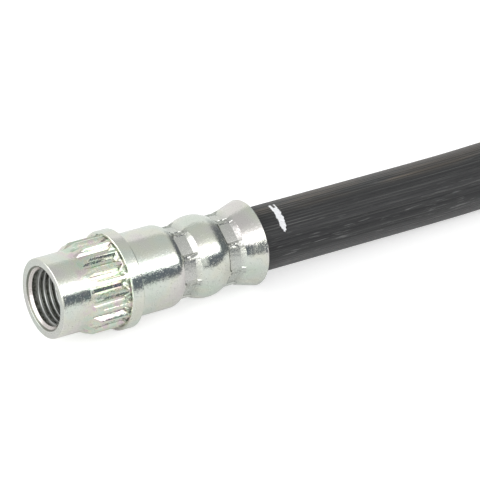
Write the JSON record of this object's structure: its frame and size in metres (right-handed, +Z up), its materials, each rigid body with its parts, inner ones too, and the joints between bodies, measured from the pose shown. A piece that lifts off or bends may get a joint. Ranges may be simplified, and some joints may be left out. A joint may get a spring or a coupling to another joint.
{
  "type": "brake hose",
  "caption": "Straight flexible brake hose with a crimped steel fitting on each end, each with a splined collar, a flange and an internal M10 x 1 thread.",
  "frame": {"origin": "on the surface that the hose lies on, midway between the two fittings", "axes": "+X runs from the near fitting to the far fitting, +Z is up"},
  "size_m": [0.2726, 0.036, 0.0161],
  "materials": {
    "zinc_plate": "bright zinc plate with a pale yellow and green passivation",
    "insert_steel": "plain bright steel",
    "hose_rubber": "black rubber with fine lengthwise ribs"
  },
  "bodies": {
    "root": {"near_end_fitting": "zinc_plate", "near_insert_tube": "insert_steel", "far_end_fitting": "zinc_plate", "far_insert_tube": "insert_steel", "hose": "hose_rubber"}
  },
  "joints": []
}
